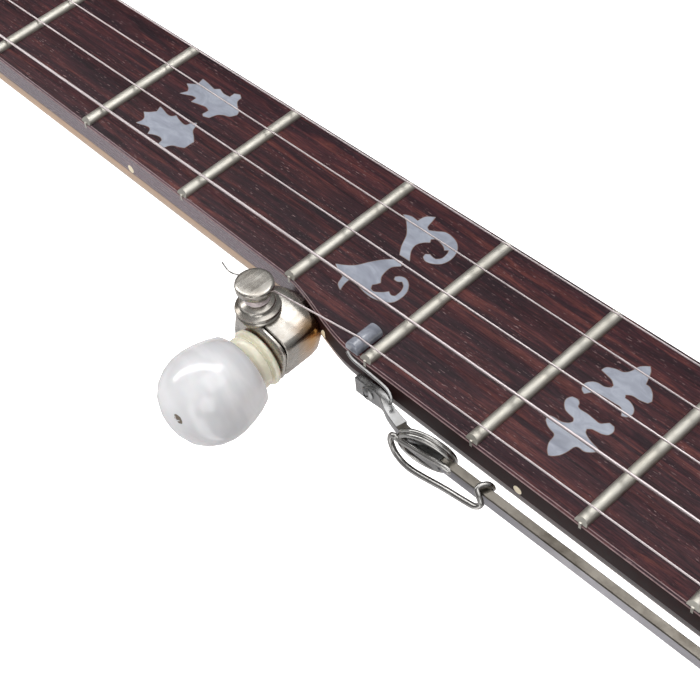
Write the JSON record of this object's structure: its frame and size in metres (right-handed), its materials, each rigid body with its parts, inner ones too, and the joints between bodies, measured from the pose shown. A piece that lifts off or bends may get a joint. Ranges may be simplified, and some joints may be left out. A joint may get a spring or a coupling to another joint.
{
  "type": "five-string resonator banjo",
  "caption": "Five-string resonator banjo with a fretted dark board, geared pegs and a sliding capo rail beside the neck for the short drone string.",
  "frame": {"origin": "centre of the flat back of the resonator, which is the pot's axis", "axes": "+Z out of the playing face, -X towards the peghead, +X towards the tailpiece, -Y the side of the short fifth string"},
  "size_m": [0.9748, 0.3512, 0.1089],
  "materials": {
    "board_wood": "dark oiled rosewood",
    "neck_wood": "dark brown gloss lacquer",
    "resonator_wood": "dark brown gloss lacquer",
    "bridge_wood": "bare maple with a dark top edge",
    "black_lacquer": "gloss black",
    "bone": "polished bone",
    "pearl_grey": "grey pearloid",
    "pearl_plastic": "white pearloid",
    "head_film": "frosted white coating",
    "nickel": "nickel plate",
    "fret_wire": "nickel silver wire",
    "string_steel": "plain steel wire",
    "aged_steel": "aged plated steel wire"
  },
  "bodies": {
    "instrument": {"fingerboard": "board_wood", "frets": "fret_wire", "peghead_overlay": "black_lacquer", "truss_rod_cover": "black_lacquer", "neck": "neck_wood", "nut": "bone", "fifth_nut": "pearl_grey", "peg5_housing": "nickel", "capo_rail": "aged_steel", "capo_screw_1": "nickel", "capo_screw_2": "nickel", "rim": "neck_wood", "tone_ring": "nickel", "head": "head_film", "tension_hoop": "nickel", "flange": "nickel", "resonator": "resonator_wood", "tension_hooks": "nickel", "hook_nuts": "nickel", "coordinator_rod_upper": "nickel", "coordinator_rod_lower": "nickel", "bridge": "bridge_wood", "tailpiece_bracket": "nickel", "armrest": "nickel", "string_1": "string_steel", "string_2": "string_steel", "string_3": "string_steel", "string_4": "string_steel", "string_5": "string_steel", "tuner_4_housing": "nickel", "tuner_3_housing": "nickel", "tuner_2_housing": "nickel", "tuner_1_housing": "nickel"},
    "tuner_1_knob": {"tuner_1_knob": "pearl_plastic"},
    "tuner_1_post": {"tuner_1_post": "nickel"},
    "tuner_2_knob": {"tuner_2_knob": "pearl_plastic"},
    "tuner_2_post": {"tuner_2_post": "nickel"},
    "tuner_3_knob": {"tuner_3_knob": "pearl_plastic"},
    "tuner_3_post": {"tuner_3_post": "nickel"},
    "tuner_4_knob": {"tuner_4_knob": "pearl_plastic"},
    "tuner_4_post": {"tuner_4_post": "nickel"},
    "fifth_peg_knob": {"peg5_knob": "pearl_plastic"},
    "fifth_peg_post": {"peg5_post": "nickel"},
    "capo": {"capo_slider": "aged_steel"},
    "capo_lever": {"capo_lever": "aged_steel"},
    "tailpiece_lid": {"tailpiece_lid": "nickel"},
    "tailpiece_bolt": {"tailpiece_bolt": "nickel"},
    "thumbscrew_1": {"thumbscrew_1": "nickel"},
    "thumbscrew_2": {"thumbscrew_2": "nickel"},
    "thumbscrew_3": {"thumbscrew_3": "nickel"},
    "thumbscrew_4": {"thumbscrew_4": "nickel"}
  },
  "joints": [
    {"name": "tuner_1_knob_turn", "type": "hinge", "parent": "instrument", "child": "tuner_1_knob", "pos_m": [-0.68782, 0.021, 0.08815], "axis": [-0.225, 0, 0.9744], "continuous": true},
    {"name": "tuner_1_post_turn", "type": "hinge", "parent": "instrument", "child": "tuner_1_post", "pos_m": [-0.68782, 0.021, 0.08815], "axis": [-0.225, 0, 0.9744], "continuous": true},
    {"name": "tuner_2_knob_turn", "type": "hinge", "parent": "instrument", "child": "tuner_2_knob", "pos_m": [-0.75213, 0.023, 0.0733], "axis": [-0.225, 0, 0.9744], "continuous": true},
    {"name": "tuner_2_post_turn", "type": "hinge", "parent": "instrument", "child": "tuner_2_post", "pos_m": [-0.75213, 0.023, 0.0733], "axis": [-0.225, 0, 0.9744], "continuous": true},
    {"name": "tuner_3_knob_turn", "type": "hinge", "parent": "instrument", "child": "tuner_3_knob", "pos_m": [-0.75213, -0.023, 0.0733], "axis": [-0.225, 0, 0.9744], "continuous": true},
    {"name": "tuner_3_post_turn", "type": "hinge", "parent": "instrument", "child": "tuner_3_post", "pos_m": [-0.75213, -0.023, 0.0733], "axis": [-0.225, 0, 0.9744], "continuous": true},
    {"name": "tuner_4_knob_turn", "type": "hinge", "parent": "instrument", "child": "tuner_4_knob", "pos_m": [-0.68782, -0.021, 0.08815], "axis": [-0.225, 0, 0.9744], "continuous": true},
    {"name": "tuner_4_post_turn", "type": "hinge", "parent": "instrument", "child": "tuner_4_post", "pos_m": [-0.68782, -0.021, 0.08815], "axis": [-0.225, 0, 0.9744], "continuous": true},
    {"name": "fifth_peg_knob_turn", "type": "hinge", "parent": "instrument", "child": "fifth_peg_knob", "pos_m": [-0.4982, -0.028, 0.0924], "axis": [0, -1, 0], "continuous": true},
    {"name": "fifth_peg_post_turn", "type": "hinge", "parent": "instrument", "child": "fifth_peg_post", "pos_m": [-0.5006, -0.0279, 0.1], "axis": [0, 0, 1], "continuous": true},
    {"name": "capo_slide", "type": "slide", "parent": "instrument", "child": "capo", "axis": [1, 0, 0], "range_m": [0, 0.15]},
    {"name": "capo_lever_squeeze", "type": "hinge", "parent": "capo", "child": "capo_lever", "pos_m": [-0.4545, -0.0315, 0.0956], "axis": [0, -1, 0], "range_deg": [0, 20]},
    {"name": "tailpiece_lid_hinge", "type": "hinge", "parent": "instrument", "child": "tailpiece_lid", "pos_m": [0.1495, 0, 0.1027], "axis": [0, 1, 0], "range_deg": [0, 75]},
    {"name": "tailpiece_bolt_turn", "type": "hinge", "parent": "instrument", "child": "tailpiece_bolt", "pos_m": [0.153, 0, 0.076], "axis": [1, 0, 0], "continuous": true},
    {"name": "thumbscrew_1_turn", "type": "hinge", "parent": "instrument", "child": "thumbscrew_1", "pos_m": [0.11844, 0.11844, 0.068], "axis": [0, 0, 1], "continuous": true},
    {"name": "thumbscrew_2_turn", "type": "hinge", "parent": "instrument", "child": "thumbscrew_2", "pos_m": [-0.11844, 0.11844, 0.068], "axis": [0, 0, 1], "continuous": true},
    {"name": "thumbscrew_3_turn", "type": "hinge", "parent": "instrument", "child": "thumbscrew_3", "pos_m": [-0.11844, -0.11844, 0.068], "axis": [0, 0, 1], "continuous": true},
    {"name": "thumbscrew_4_turn", "type": "hinge", "parent": "instrument", "child": "thumbscrew_4", "pos_m": [0.11844, -0.11844, 0.068], "axis": [0, 0, 1], "continuous": true}
  ],
  "couplings": [
    {"joint": "tuner_1_post_turn", "follows": "tuner_1_knob_turn", "ratio": 0.25},
    {"joint": "tuner_2_post_turn", "follows": "tuner_2_knob_turn", "ratio": 0.25},
    {"joint": "tuner_3_post_turn", "follows": "tuner_3_knob_turn", "ratio": 0.25},
    {"joint": "tuner_4_post_turn", "follows": "tuner_4_knob_turn", "ratio": 0.25},
    {"joint": "fifth_peg_post_turn", "follows": "fifth_peg_knob_turn", "ratio": 0.1}
  ]
}
